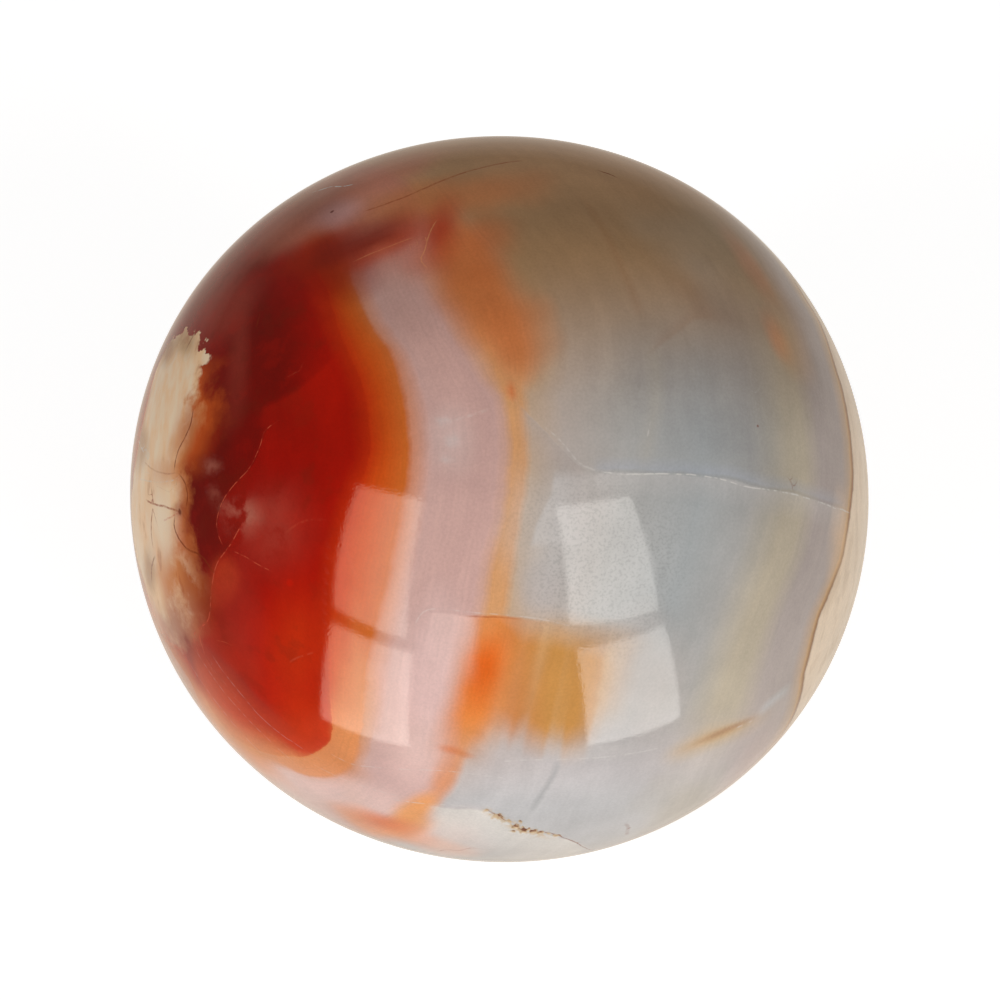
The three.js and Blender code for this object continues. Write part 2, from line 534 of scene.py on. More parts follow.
def lineGaps(direction, sides):
    # for every vertex, how many half widths it lies to one side or the other of its nearest line, and that
    # line's cover, which fades towards the line's two ends and away from it
    gaps = np.zeros((len(direction), 3))
    gaps[:, 0] = lineShape["farAway"]
    nearest = np.full(len(direction), float(lineShape["reach"]))
    fadeOut, fadeIn = lineShape["sideFade"]
    for side, lines in ((1, sides["face"]), (-1, sides["back"])):
        axes = faceAxes(direction, side)
        for cover, halfWidth, points in lines:
            line = throughPoints([onFace(x, y) for x, y in points])
            lengths = np.linalg.norm(np.diff(line, axis=0), axis=1) / pixel
            middle = line.mean(axis=0)
            reach = np.linalg.norm(line - middle, axis=1).max() + lineShape["reach"] * pixel
            near = np.flatnonzero(np.linalg.norm(axes - middle, axis=1) < reach)
            place = axes[near]
            closest = np.full(len(near), lineShape["farAway"])
            sign = np.ones(len(near))
            along = np.zeros(len(near))
            for index, (start, end) in enumerate(zip(line, line[1:])):
                way = end - start
                share = np.clip((place - start) @ way / (way @ way), 0, 1)
                away = np.linalg.norm(place - start - share[:, None] * way, axis=1) / pixel
                nearer = away < closest
                closest = np.where(nearer, away, closest)
                sign = np.where(nearer, np.sign(place @ np.cross(start, end)), sign)
                along = np.where(nearer, lengths[:index].sum() + share * lengths[index], along)
            fromEnd = np.clip(np.minimum(along, lengths.sum() - along) / lineShape["endFade"], 0, 1)
            fromLine = np.clip((fadeOut - closest) / (fadeOut - fadeIn), 0, 1)
            better = closest < nearest[near]
            chosen = near[better]
            nearest[chosen] = closest[better]
            gaps[chosen, 0] = (sign * closest / halfWidth)[better]
            gaps[chosen, 1] = (cover * fromEnd * fromLine)[better]
    return gaps


sway = {
    "seeds": (11, 12, 13),
    "waves": {"count": 7, "longest": 1.9, "shortest": 0.3},
    "onFace": 0.006,
    "behind": 0.42,
    "from": 0.1,  # it grows from here out of the face
    "within": 0.7,
}


def drift(direction):
    # the layers sway a little on the face, and swing about behind it: amount * waves, with the amount
    # onFace + behind * smoothstep of how far back the place is
    out = direction @ faceOut
    share = np.clip((sway["from"] - out) / sway["within"], 0, 1)
    amount = sway["onFace"] + sway["behind"] * share * share * (3 - 2 * share)
    return np.stack([amount * waves(direction, seed, **sway["waves"]) for seed in sway["seeds"]], axis=1)


seamPixel = (527, 834)
# Pits in the open seam: middle and radius in pixels, and depth as a share of the deepest.
seamPits = [
    ((486, 813), 3.0, 0.5), ((497, 819), 4.5, 1.0), ((509, 824), 3.5, 0.5), ((516, 829), 4.5, 0.8),
    ((524, 833), 5.0, 0.9), ((533, 834), 4.5, 0.8), ((513, 834), 3.0, 0.6), ((541, 835), 3.5, 0.7),
    ((549, 836), 2.5, 0.5), ((557, 838), 3.5, 0.7), ((520, 824), 2.5, 0.6), ((578, 845), 2.0, 0.4),
]
deepestPit = 0.00022
pitSpread = 1.4  # a pit is this much wider at its rim than its radius
pitWavers = [(0.25, (430, 170)), (0.2, (-260, 390))]  # how far, and the waves' run to the right and up


def pitDepths(direction):
    # each pit is share * (1 - (distance / rim) ^ 2) ^ 1.5 deep, and two sine waves make its outline waver
    right, up, out = direction @ faceRight, direction @ faceUp, direction @ faceOut
    waver = 1 + sum(amount * np.sin(run[0] * right + run[1] * up) for amount, run in pitWavers)
    depth = np.zeros(len(direction))
    for at, radius, share in seamPits:
        middle = onFace(*at)
        away = np.sqrt((right - middle[0]) ** 2 + (up - middle[1]) ** 2 + (out - middle[2]) ** 2) * waver
        rim = pitSpread * radius * pixel
        depth = np.maximum(depth, share * np.clip(1 - (away / rim) ** 2, 0, 1) ** 1.5)
    return depth


def makeStone():
    direction = ballSurface()
    ballReach = radiusAlong(direction) * ball["inside"]
    down = direction[:, 2]
    flatReach = np.where(down < ball["flatBelow"], centreHeight / -down.clip(max=ball["flatBelow"]), 1.0)
    pits = pitDepths(direction)
    ripple = ball["ripple"] * waves(direction, **ball["rippleWaves"])
    reach = softMinimum(ballReach + ripple, flatReach, ball["edgeRound"]) - deepestPit * pits
    place = direction * reach[:, None] + ballCentre
    mesh = bpy.data.meshes.new("polishedStone")
    mesh.from_pydata(place.tolist(), [], ballFaces())
    mesh.polygons.foreach_set("use_smooth", np.ones(len(mesh.polygons), bool))
    kept = {"drift": drift(direction), "pitDepth": pits}
    for group, spots in softSpots.items():
        kept[group + "Tint"], kept[group + "Cover"] = softTints(direction, spots)
    for name, sides in fineLines.items():
        kept[name + "Gaps"] = lineGaps(direction, sides)
    for name, values in kept.items():
        if values.ndim == 1:
            mesh.attributes.new(name, "FLOAT", "POINT").data.foreach_set("value", values)
        else:
            mesh.attributes.new(name, "FLOAT_VECTOR", "POINT").data.foreach_set("vector", values.ravel())
    mesh.update()
    stone = bpy.data.objects.new("polishedStone", mesh)
    bpy.context.collection.objects.link(stone)
    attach(stone, "root")
    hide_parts("carnelian_sphere")
    return stone


stone = makeStone()
print("stone shaped with", len(stone.data.polygons), "faces")

# The noises that colour the stone: features in one ball radius, octaves, and how rough the finer ones are.
noises = {
    "fray": (18, 4, 0.62),
    "blotches": (11, 5, 0.6),
    "streaks": (30, 3, 0.6),
    "crumbs": (55, 1, 0.6),
    "clouds": (4.5, 4, 0.62),
    "fineLayers": (2.4, 3, 0.6),
    "slantingStreaks": (17, 1, 0.4),
    "grain": (150.0, 1, 0.5),
}
curveBox = (-1.6, -2.0, 1.6, 2.0)  # least and greatest place, and height, of a curve's points


class Wiring:
    # adds nodes to one tree; each call returns the new node's output, ready for the next call

    def __init__(self, tree):
        self.tree = tree

    def put(self, value, socket):
        if isinstance(value, bpy.types.NodeSocket):
            self.tree.links.new(value, socket)
        elif value is not None:
            socket.default_value = value

    def node(self, kind, **settings):
        made = self.tree.nodes.new("ShaderNode" + kind)
        for name, value in settings.items():
            setattr(made, name, value)
        return made

    def maths(self, operation, first, second=None, third=None, clamp=False):
        made = self.node("Math", operation=operation, use_clamp=clamp)
        for value, socket in zip((first, second, third), made.inputs):
            self.put(value, socket)
        return made.outputs[0]

    def times(self, first, *others):
        for other in others:
            first = self.maths("MULTIPLY", first, other)
        return first

    def vector(self, operation, first, second=None):
        made = self.node("VectorMath", operation=operation)
        self.put(first, made.inputs[0])
        self.put(second, made.inputs["Scale"] if operation == "SCALE" else made.inputs[1])
        return made.outputs["Value" if operation in ("DOT_PRODUCT", "LENGTH", "DISTANCE") else "Vector"]

    def filled(self, kind, *values):
        # a node of this kind, with the values in its first sockets
        made = self.node(kind)
        for value, socket in zip(values, made.inputs):
            self.put(value, socket)
        return made.outputs[0]

    def split(self, place):
        made = self.node("SeparateXYZ")
        self.put(place, made.inputs[0])
        return made.outputs[0], made.outputs[1], made.outputs[2]

    def step(self, value, low, high, start=0.0, end=1.0, kind="SMOOTHSTEP"):
        # a soft step: start where the value is at low, end where it is at high
        made = self.node("MapRange", interpolation_type=kind, clamp=True)
        names = ("Value", "From Min", "From Max", "To Min", "To Max")
        for given, name in zip((value, low, high, start, end), names):
            self.put(given, made.inputs[name])
        return made.outputs["Result"]

    def mix(self, under, over, mask, blend="MIX"):
        made = self.node("Mix", data_type="RGBA", blend_type=blend, clamp_factor=True)
        self.put(mask, made.inputs[0])
        self.put(under, made.inputs[6])
        self.put(over, made.inputs[7])
        return made.outputs[2]

    def paint(self, ground, name, *masks):
        # a named tone laid over the ground, where all the masks let it
        return self.mix(ground, tone(name), self.times(*masks))

    def noise(self, place, name, output="Fac"):
        made = self.node("TexNoise")
        self.put(place, made.inputs["Vector"])
        for value, socket in zip(noises[name], ("Scale", "Detail", "Roughness")):
            self.put(value, made.inputs[socket])
        return made.outputs[output]

    def placed(self, place, location=(0, 0, 0), turn=(0, 0, 0), scale=(1, 1, 1)):
        # the same place, as seen from a box that is moved, turned and scaled
        made = self.node("Mapping", vector_type="TEXTURE")
        self.put(place, made.inputs["Vector"])
        for name, value in (("Location", location), ("Rotation", turn), ("Scale", scale)):
            self.put(value, made.inputs[name])
        return made.outputs["Vector"]

    def ramp(self, value, stops, easing="LINEAR"):
        # a stop is a place, a named tone or a colour, and its cover where that isn't 1
        made = self.node("ValToRGB")
        made.color_ramp.interpolation = easing
        elements = made.color_ramp.elements
        while len(elements) < len(stops):
            elements.new(0.5)
        for element, (place, shade, *cover) in zip(elements, stops):
            red, green, blue = tone(shade)[:3] if isinstance(shade, str) else shade
            element.position = place
            element.color = (red, green, blue, cover[0] if cover else 1.0)
        self.put(value, made.inputs["Fac"])
        return made.outputs["Color"], made.outputs["Alpha"]

    def curve(self, value, points):
        # a line through points (place, height), level before the first and after the last
        made = self.node("FloatCurve")
        mapping = made.mapping
        mapping.clip_min_x, mapping.clip_min_y, mapping.clip_max_x, mapping.clip_max_y = curveBox
        mapping.extend = "HORIZONTAL"
        line = mapping.curves[0]
        points = sorted(points)
        line.points[0].location = points[0]
        line.points[1].location = points[-1]
        for point in points[1:-1]:
            line.points.new(*point)
        for point in line.points:
            point.handle_type = "AUTO_CLAMPED"
        mapping.update()
        self.put(value, made.inputs["Value"])
        return made.outputs["Value"]


bedding = 0.45  # how far the layers lean back: the share of depth that counts as distance across them

# Where the layers' edges run, from top to bottom, in pixels of the photograph.
layerEdges = {
    "redInner": [(270, 215), (288, 238), (310, 264), (326, 290), (334, 313), (342, 334), (352, 358),
                 (366, 395), (371, 440), (362, 480), (348, 520), (338, 561), (330, 610), (328, 658),
                 (330, 700), (333, 730), (335, 748), (336, 765)],
    "redOuter": [(300, 185), (325, 215), (345, 240), (354, 262), (359, 285), (369, 311), (384, 334),
                 (398, 354), (405, 376), (411, 410), (414, 440), (411, 493), (397, 561), (384, 615),
                 (373, 658), (366, 707), (363, 745), (364, 765), (364, 785)],
    "bandLeft": [(405, 190), (415, 225), (422, 262), (437, 293), (449, 313), (457, 334), (470, 354),
                 (484, 377), (500, 397), (506, 430), (505, 482), (499, 523), (487, 564), (480, 604),
                 (472, 640), (463, 690), (457, 730), (451, 755), (437, 785), (407, 808), (375, 826)],
    "bandRight": [(455, 190), (488, 228), (518, 262), (530, 293), (540, 320), (544, 350), (540, 376),
                  (531, 396), (534, 430), (532, 482), (525, 523), (519, 564), (512, 604), (506, 640),
                  (494, 690), (478, 730), (468, 760), (460, 786), (440, 810), (404, 838)],
    "olive": [(690, 205), (728, 250), (770, 319), (787, 396), (795, 464), (784, 537), (757, 610),
              (735, 668), (711, 730), (690, 785), (660, 835)],
    "rindLine": [(787, 271), (799, 290), (818, 321), (834, 365), (844, 401), (851, 450), (852, 486),
                 (848, 522), (841, 560), (827, 596), (817, 620), (810, 645), (803, 671), (797, 700),
                 (786, 725), (774, 742), (761, 758)],
}
# The red heart's lower ends, from left to right.
redBottoms = {
    "inner": [(150, 600), (185, 655), (215, 715), (235, 738), (254, 748), (275, 754), (297, 757),
              (315, 753), (327, 745), (336, 730), (346, 704)],
    "outer": [(150, 620), (185, 675), (215, 728), (240, 752), (262, 765), (292, 773), (320, 779),
              (342, 776), (356, 764), (366, 747), (373, 720)],
}

# The colours from layer to layer. Layer 0 is inside the red heart and 1 its edge, 1 to 2 its orange border,
# 3 to 4 the second orange band, 5 the olive band, and 6 the brown line where the rind begins.
layerTones = [
    (0.0, "deepRed"), (0.6, "deepRed"), (0.9, "red"), (1.04, "orangeRed"), (1.4, "border"),
    (1.85, "borderLight"), (2.04, "blush"), (2.2, "rose"), (2.9, "rose"), (3.3, "apricot"), (3.7, "apricot"),
    (4.0, "sand"), (4.1, "greyWarm"), (4.3, "grey"), (4.6, "greyBlue"), (4.8, "grey"), (4.97, "olive"),
    (5.15, "olive"), (5.4, "lilac"), (5.78, "lilac"), (5.93, "sand"), (5.98, "honey"), (5.995, "rindLine"),
    (6.02, "rindLine"), (6.06, "rind"),
]
redDepth = 0.42  # how far layer 0 lies inside the red heart's edge
rindDepth = 0.2  # how far the last layer reaches behind the brown line
heartClosing = 0.03  # how softly the heart's sides turn into its lower end


def acrossLayers(x, y):
    right, up, out = onFace(x, y)
    return up, right - bedding * out


# What the whole stone shares. A pair is where a soft step begins and where it is full.
markings = {
    "front": (-0.12, 0.12),  # out of the face: what is drawn on the face alone sets in here
    "fray": 0.014,  # how far the layers' edges are frayed, in ball radii
    "streakScale": (1, 5, 2),  # how far the streaks are drawn out: right, up, out
    "dotEdge": 0.4,  # a speck is solid within this share of its radius
    "crackFade": 10,  # pixels over which a crack fades out towards its ends
}


class StoneNodes(Wiring):
    # the same, with the stone's own directions: right, up and out of the face, in ball radii

    def __init__(self, tree):
        super().__init__(tree)
        place = self.node("TexCoord").outputs["Object"]
        self.face = self.placed(place, ballCentre, (math.pi / 2 - lean, 0, 0), (ball["radius"],) * 3)
        faceOutward = self.split(self.face)[2]
        self.front = self.step(faceOutward, *markings["front"])
        swayed = self.node("Attribute", attribute_name="drift").outputs["Vector"]
        frayed = self.vector("SUBTRACT", self.noise(self.face, "fray", "Color"), (0.5, 0.5, 0.5))
        frayed = self.vector("SCALE", frayed, markings["fray"])
        self.bent = self.vector("ADD", self.face, self.vector("ADD", swayed, frayed))
        self.right, self.up, self.out = self.split(self.bent)
        self.across = self.maths("SUBTRACT", self.right, self.times(self.out, bedding))
        self.blotches = self.noise(self.bent, "blotches")
        self.streaks = self.noise(self.placed(self.bent, scale=markings["streakScale"]), "streaks")
        self.waver = self.step(self.blotches, *lineShape["waver"], "LINEAR")
        self.crumbs = self.noise(self.face, "crumbs")

    def pastLine(self, points, runs):
        # how far a place lies to the right of a line that runs down, or above one that runs across the face
        places = [onFace(x, y) for x, y in points]
        if runs == "down":
            return self.maths("SUBTRACT", self.right, self.curve(self.up, [(p[1], p[0]) for p in places]))
        return self.maths("SUBTRACT", self.up, self.curve(self.right, [(p[0], p[1]) for p in places]))

    def crack(self, ground, points, runs, profile, fade=markings["crackFade"], within=None):
        # a line on the face with what lies along it: the profile gives tone and cover at distances in pixels
        # to the right of it or above it, and all of it fades out over fade pixels at the line's two ends
        gap = self.pastLine(points, runs)
        nearest, farthest = profile[0][0], profile[-1][0]
        span = farthest - nearest
        share = self.maths("MULTIPLY_ADD", gap, 1 / (span * pixel), -nearest / span)
        stops = [((at - nearest) / span, name, amount) for at, name, amount in profile]
        colour, cover = self.ramp(share, stops)
        first, last = sorted(onFace(x, y)[1 if runs == "down" else 0] for x, y in (points[0], points[-1]))
        soft = fade * pixel
        strength = self.curve(self.up if runs == "down" else self.right,
                              [(first - soft, 0), (first, 0), (first + soft, 1), (last - soft, 1), (last, 0),
                               (last + soft, 0)])
        mask = self.times(cover, strength, self.front if within is None else within)
        return self.mix(ground, colour, mask)

    def tinted(self, ground, group, within=None):
        # the soft spots of one group
        tint = self.node("Attribute", attribute_name=group + "Tint").outputs["Vector"]
        cover = self.node("Attribute", attribute_name=group + "Cover").outputs["Fac"]
        return self.mix(ground, tint, cover if within is None else self.times(cover, within))

    def lines(self, ground, name):
        # the fine lines of one tone, pushed about by the blotches and broken between the crumbs
        gap, cover, _ = self.split(self.node("Attribute", attribute_name=name + "Gaps").outputs["Vector"])
        away = self.maths("ABSOLUTE", self.maths("ADD", gap, self.waver))
        kept = lineShape["keeps"].get(name, lineShape["othersKeep"])
        whole = self.step(self.crumbs, *lineShape["breaks"], kept, 1.0)
        return self.paint(ground, name, self.step(away, *lineShape["edge"]), cover, whole)

    def dot(self, ground, name, cover, at, radius):
        away = self.vector("DISTANCE", self.bent, tuple(onFace(*at)))
        rim = radius * pixel
        return self.paint(ground, name, self.step(away, rim, markings["dotEdge"] * rim, 0.0, cover))


def layeredGround(stone):
    # the layer's number, counted up from each edge to the next, and its tone
    past = []
    for edge in layerEdges.values():
        line = stone.curve(stone.up, [acrossLayers(*at) for at in edge])
        past.append(stone.maths("SUBTRACT", stone.across, line))
    # the red heart is closed at its lower end
    for index, bottom in enumerate(redBottoms.values()):
        under = stone.maths("MULTIPLY", stone.pastLine(bottom, "across"), -1)
        past[index] = stone.maths("SMOOTH_MAX", past[index], under, heartClosing)
    layer = stone.step(past[0], -redDepth, 0.0, kind="LINEAR")
    for here, following in zip(past, past[1:]):
        share = stone.maths("DIVIDE", here, stone.maths("SUBTRACT", here, following), clamp=True)
        layer = stone.maths("ADD", layer, share)
    layer = stone.maths("ADD", layer, stone.step(past[-1], 0.0, rindDepth, kind="LINEAR"))
    layerCount = len(past) + 1
    stops = [(number / layerCount, name) for number, name in layerTones]
    ground, _ = stone.ramp(stone.maths("DIVIDE", layer, layerCount), stops)
    return layer, ground


# Cracks that part two shades of the stone: which way one runs, its pixels, and its tones and their cover at
# distances in pixels to the right of it or above it. The first ones are inside the red heart. The others, on
# the face, have a last value: the pixels over which one fades out towards its ends.
healedBrighter = [(-40, "maroon", 0.0), (-6, "maroon", 0.4), (-1.0, "maroon", 0.3), (1.0, "red", 0.45),
                  (50, "red", 0.0)]
heartCracks = [
    ("across", [(348, 340), (333, 356), (320, 368), (308, 379), (296, 389), (280, 397), (258, 409)],
     [(-90, "scarlet", 0.0), (-30, "scarlet", 0.26), (-4, "scarlet", 0.34), (3, "deepRed", 0.1),
      (30, "deepRed", 0.0)]),
    ("down", [(279, 421), (270, 427), (264, 434), (261, 446), (251, 467), (238, 481), (226, 497),
              (219, 514), (218, 529), (223, 550)], healedBrighter),
    ("down", [(246, 518), (231, 544), (218, 563), (213, 582), (209, 619), (198, 629), (194, 638),
              (198, 651), (205, 670)], healedBrighter),
    ("across", [(185, 618), (205, 640), (235, 668), (262, 698), (290, 722), (328, 751)],
     [(-110, "peachBright", 0.85), (-52, "milkyOrange", 0.8), (-6, "milkyRed", 0.6), (3, "scarlet", 0.2),
      (30, "scarlet", 0.0)]),
]
faceCracks = [
    ("across", [(432, 215), (385, 233), (365, 242), (343, 251), (320, 260), (300, 271), (272, 292)],
     [(-14, "streakRed", 0.0), (-3, "streakRed", 0.8), (5, "streakRed", 0.8), (24, "streakRed", 0.0)], 62),
    ("across", [(516, 399), (536, 420), (552, 437), (565, 450), (576, 462), (592, 471)],
     [(-50, "lilac", 0.0), (-1, "lilac", 0.55), (1, "milk", 0.12), (30, "milk", 0.0)], 14),
    ("across", [(590, 472), (640, 473), (674, 474), (708, 477), (737, 480), (754, 486), (767, 489),
                (792, 493), (824, 503), (849, 512)],
     [(-26, "milk", 0.0), (-1.5, "milk", 0.4), (0.8, "greyLine", 0.3), (4, "mistBlue", 0.35),
      (16, "mistBlue", 0.0)], 14),
    ("down", [(556, 468), (553, 493), (545, 510), (537, 527), (530, 550)],
     [(-2, "milk", 0.0), (2, "milk", 0.65), (70, "milk", 0.0)], 10),
    ("across", [(420, 616), (438, 613), (462, 615), (482, 616)],
     [(-70, "palePink", 0.0), (-1.5, "palePink", 0.4), (0.5, "palePink", 0.0)], 16),
    ("across", [(752, 720), (762, 710), (776, 698), (794, 684)],
     [(-8, "milkCool", 0.0), (0, "milkCool", 0.55), (7, "milkCool", 0.0)], 16),
    ("down", [(560, 755), (550, 780), (540, 797), (527, 817)],
     [(-5, "greyLine", 0.0), (0, "greyLine", 0.5), (5, "greyLine", 0.0)], 14),
    ("down", [(648, 330), (655, 365), (657, 396), (652, 430), (643, 480)],
     [(-12, "olive", 0.0), (0, "olive", 0.20), (12, "olive", 0.0)], 30),
    ("across", [(640, 362), (660, 346), (680, 330), (700, 318), (725, 322)],
     [(-3, "brown", 0.0), (2, "brown", 0.14), (16, "brown", 0.0)], 24),
    ("down", [(576, 190), (595, 215), (612, 245), (629, 285), (645, 325)],
     [(-7, "brown", 0.0), (0, "brown", 0.16), (7, "brown", 0.0)], 24),
]


# Every pair below is where a soft step begins and where it is full; two more values are its cover there.
# Heights and distances are in ball radii, from the middle of the face.
heart = {
    "inside": (1.05, 0.85),  # layers
    "clouds": (0.36, 0.54),  # of the blotches
    "bright": (0.50, 0.66, 0.0, 0.14),
    "dark": (0.46, 0.34, 0.0, 0.20),
    "lowEnd": (-0.46, -0.62),  # heights
    "tip": (-0.63, -0.48, 0.80, 0.98),  # from left to right, the layer where the ring begins
    "end": (1.12, 1.04),  # layers
    "endFromInside": (0.45, 0.95),
    "endCover": (0.75, 0.98, 0.6, 0.85),  # by the tip
    "ringInside": 1.04,  # the layer in which the ring is full
    "ringEnds": 2.05,
    "ringFull": (0.75, 0.98, 1.1, 1.88),  # by the tip, the layer up to which the ring is full
    "ringCover": 0.8,
}


def redHeart(stone, layer, ground):
    inRed = stone.step(layer, *heart["inside"])
    ground = stone.tinted(ground, "red", inRed)
    ground = stone.tinted(ground, "cloud", stone.step(stone.blotches, *heart["clouds"]))
    ground = stone.paint(ground, "scarlet", stone.step(stone.blotches, *heart["bright"]), inRed)
    ground = stone.paint(ground, "umber", stone.step(stone.blotches, *heart["dark"]), inRed)
    for runs, points, profile in heartCracks:
        ground = stone.crack(ground, points, runs, profile, within=inRed)
    # its lower end is bright, and has a crisp edge with an orange ring round it
    low = stone.times(stone.step(stone.up, *heart["lowEnd"]), stone.front)
    tip = stone.step(stone.right, *heart["tip"])
    end = stone.times(low, stone.step(layer, *heart["end"]), stone.step(layer, *heart["endFromInside"]),
                      stone.step(tip, *heart["endCover"]))
    ground = stone.paint(ground, "heartEnd", end)
    ringFull = stone.step(tip, *heart["ringFull"])
    ring = stone.times(low, stone.step(layer, tip, heart["ringInside"]),
                       stone.step(layer, heart["ringEnds"], ringFull), heart["ringCover"])
    return stone.paint(ground, "ring", ring)


# The cream crust on the left limb. The edge is its right side and the rim its left one, from top to bottom.
crust = {
    "edge": [(190, 331), (198, 338), (204, 350), (211, 359), (206, 366), (198, 371), (200, 390), (203, 412),
             (199, 430), (191, 450), (184, 465), (185, 475), (189, 490), (189, 505), (189, 522), (193, 545),
             (200, 560), (205, 575), (205, 592), (199, 614), (191, 632), (178, 647)],
    "rim": [(187, 331), (172, 345), (162, 365), (155, 390), (149, 415), (143, 440), (138, 470), (134, 500),
            (136, 540), (143, 575), (152, 600), (164, 628), (174, 644)],
    "fray": 0.16,  # how far the blotches fray its outline
    "closes": 0.03,  # radians past its ends by which it is closed
    "edgeClosedAt": 0.0,
    "rimClosedAt": 0.6,
    "soak": (0.14, 0.0),  # how far outside it the rust soaks
    "soakBottom": (0.03, 0.13),  # heights
    "soakTop": (0.39, 0.31),
    "softBelow": (0.36, 0.28),  # heights; above them its edge is crisp
    "softness": (0.36, 0.28, 0.010, 0.035),
    "softerBelow": (-0.16, -0.36, 0.0, 0.13),
    "inner": -0.8,  # the edge is full this many softnesses inside
    "creamStreaks": (0.36, 0.62, 0.3, 1.0),
    "caramelEdge": (-0.06, 0.0),
    "caramelCover": 0.8,
    "spotBlotches": (0.70, 0.45, 0.55, 1.0),
    "rustStreaks": (0.60, 0.72, 0.0, 0.35),
}


def creamCrust(stone, ground):
    frayed = stone.maths("MULTIPLY_ADD", stone.blotches, crust["fray"], -crust["fray"] / 2)
    height = stone.maths("ADD", stone.up, frayed)

    def fromLimb(points, closedAt):
        # the angle from the left limb towards the middle, for each height; past the two ends it is closedAt
        places = [onFace(x, y) for x, y in points]
        angles = [(p[1], math.atan2(p[2], -p[0])) for p in places]
        top, bottom = angles[0][0] + crust["closes"], angles[-1][0] - crust["closes"]
        return stone.curve(height, angles + [(top, closedAt), (bottom, closedAt)])

    angle = stone.maths("ARCTAN2", stone.out, stone.maths("MULTIPLY", stone.right, -1))
    fromEdge = stone.maths("SUBTRACT", angle, fromLimb(crust["edge"], crust["edgeClosedAt"]))
    pastEdge = stone.maths("ADD", fromEdge, frayed)
    pastRim = stone.maths("SUBTRACT", fromLimb(crust["rim"], crust["rimClosedAt"]), angle)
    outside = stone.maths("MAXIMUM", pastEdge, pastRim)
    # rust soaks out of the crust into the red
    ground = stone.paint(ground, "soak", stone.step(outside, *crust["soak"]),
                         stone.step(stone.up, *crust["soakBottom"]), stone.step(stone.up, *crust["soakTop"]))
    # its right edge is crisp at the top and soft lower down, where the cream turns to caramel
    low = stone.step(stone.up, *crust["softBelow"])
    softness = stone.maths("ADD", stone.step(stone.up, *crust["softness"]),
                           stone.step(stone.up, *crust["softerBelow"]))
    inside = stone.step(outside, softness, stone.maths("MULTIPLY", softness, crust["inner"]))
    tint = stone.mix(tone("creamPale"), tone("cream"), stone.step(stone.streaks, *crust["creamStreaks"]))
    caramel = stone.times(stone.step(pastEdge, *crust["caramelEdge"]), low, crust["caramelCover"])
    tint = stone.paint(tint, "caramel", caramel)
    tint = stone.tinted(tint, "crust", stone.step(stone.blotches, *crust["spotBlotches"]))
    tint = stone.paint(tint, "rust", stone.step(stone.streaks, *crust["rustStreaks"]))
    return stone.mix(ground, tint, inside), inside


chalcedony = {
    "begins": (3.4, 4.1),  # layers
    "ends": (5.8, 5.2),
    # the tan is partly the stone's own brown and partly painted shade towards the top
    "tanHeight": (0.11, 0.66),
    "tanCover": 0.92,
    "topHeight": (0.70, 0.95),
    "lowHeight": (-0.52, -0.82),
    "lowRose": 0.7,
    "lowMilk": 0.85,
    "roseBegins": (1.6, 2.1),  # layers
    "roseEnds": (3.4, 2.9),
    # painted shade on the rose band, darker towards the top of the ball
    "roseShadeHeight": (0.15, 0.5),
    "roseShadeCover": 0.25,
    "salmonHeight": (0.5, 0.74),
    "salmonCover": 0.85,
}


def greyField(stone, layer, ground):
    # tan towards the top of the ball, rose and milky towards its foot, and painted shade on the rose band
    # towards the top
    inGrey = stone.times(stone.step(layer, *chalcedony["begins"]), stone.step(layer, *chalcedony["ends"]))
    # the tan is partly the stone's own brown and partly painted shade, darker towards the top of the ball
    high = stone.step(stone.up, *chalcedony["tanHeight"])
    ground = stone.paint(ground, "tan", high, inGrey, chalcedony["tanCover"])
    ground = stone.paint(ground, "tanLight", stone.step(stone.up, *chalcedony["topHeight"]))
    low = stone.step(stone.up, *chalcedony["lowHeight"])
    ground = stone.paint(ground, "roseLow", low, chalcedony["lowRose"])
    ground = stone.paint(ground, "milkCool", low, inGrey, chalcedony["lowMilk"])
    inRose = stone.times(stone.step(layer, *chalcedony["roseBegins"]),
                         stone.step(layer, *chalcedony["roseEnds"]))
    # painted shade: the rose band darkens towards the top of the ball
    high = stone.step(stone.up, *chalcedony["roseShadeHeight"])
    ground = stone.paint(ground, "roseDark", high, inRose, chalcedony["roseShadeCover"])
    high = stone.step(stone.up, *chalcedony["salmonHeight"])
    ground = stone.paint(ground, "salmon", high, inRose, chalcedony["salmonCover"])
    return stone.tinted(ground, "pale")


ochre = {
    "crack": [(415, 629), (424, 615), (438, 613), (462, 615), (483, 616), (513, 617), (544, 621),
              (571, 627), (605, 636)],
    "rightEnd": [(636, 630), (634, 660), (627, 690), (618, 720), (608, 750)],
    "leftEnd": [(482, 630), (480, 660), (474, 700), (464, 740)],
    "lowEnd": [(450, 765), (480, 750), (505, 740), (530, 736), (552, 744), (575, 740), (600, 735)],
    "core": [(493, 616), (488, 645), (482, 675), (474, 705), (465, 730), (458, 750)],
    "topSoftness": (0.08, 0.24, 0.006, 0.035),  # from left to right, how softly it begins under the crack
    "rightSoft": (0.03, -0.12),
    "leftSoft": (-0.03, 0.08),
    "lowSoft": (-0.05, 0.08),
    "slant": math.radians(-13),
    "streakScale": (1, 14, 14),
    "streakReach": (0.35, 0.65, 0.03, -0.045),  # how much farther down its lighter and darker streaks reach
    "paleTop": (-0.02, 0.06, -0.01, -0.075),  # from left to right, how far below the crack it is full
    "paleTopBegins": -0.005,
    "paleTopCover": 0.45,
    "honeyStreaks": (0.36, 0.64),
    "amberLeft": (0.14, 0.01, 0.0, 0.6),
    "cover": (0.60, 0.72, 0.92, 0.70),
    "coreBottom": (-0.71, -0.53),  # heights
    "coreTop": (-0.33, -0.41, 0.6, 1.0),
    "haloWidth": (0.105, 0.015),
    "haloCover": 0.9,
    "flameWidth": (0.076, 0.004),
    "flameBottom": (-0.62, -0.42),
    "flameTop": (-0.31, -0.42, 0.15, 1.0),
    "flameCover": 0.85,
}


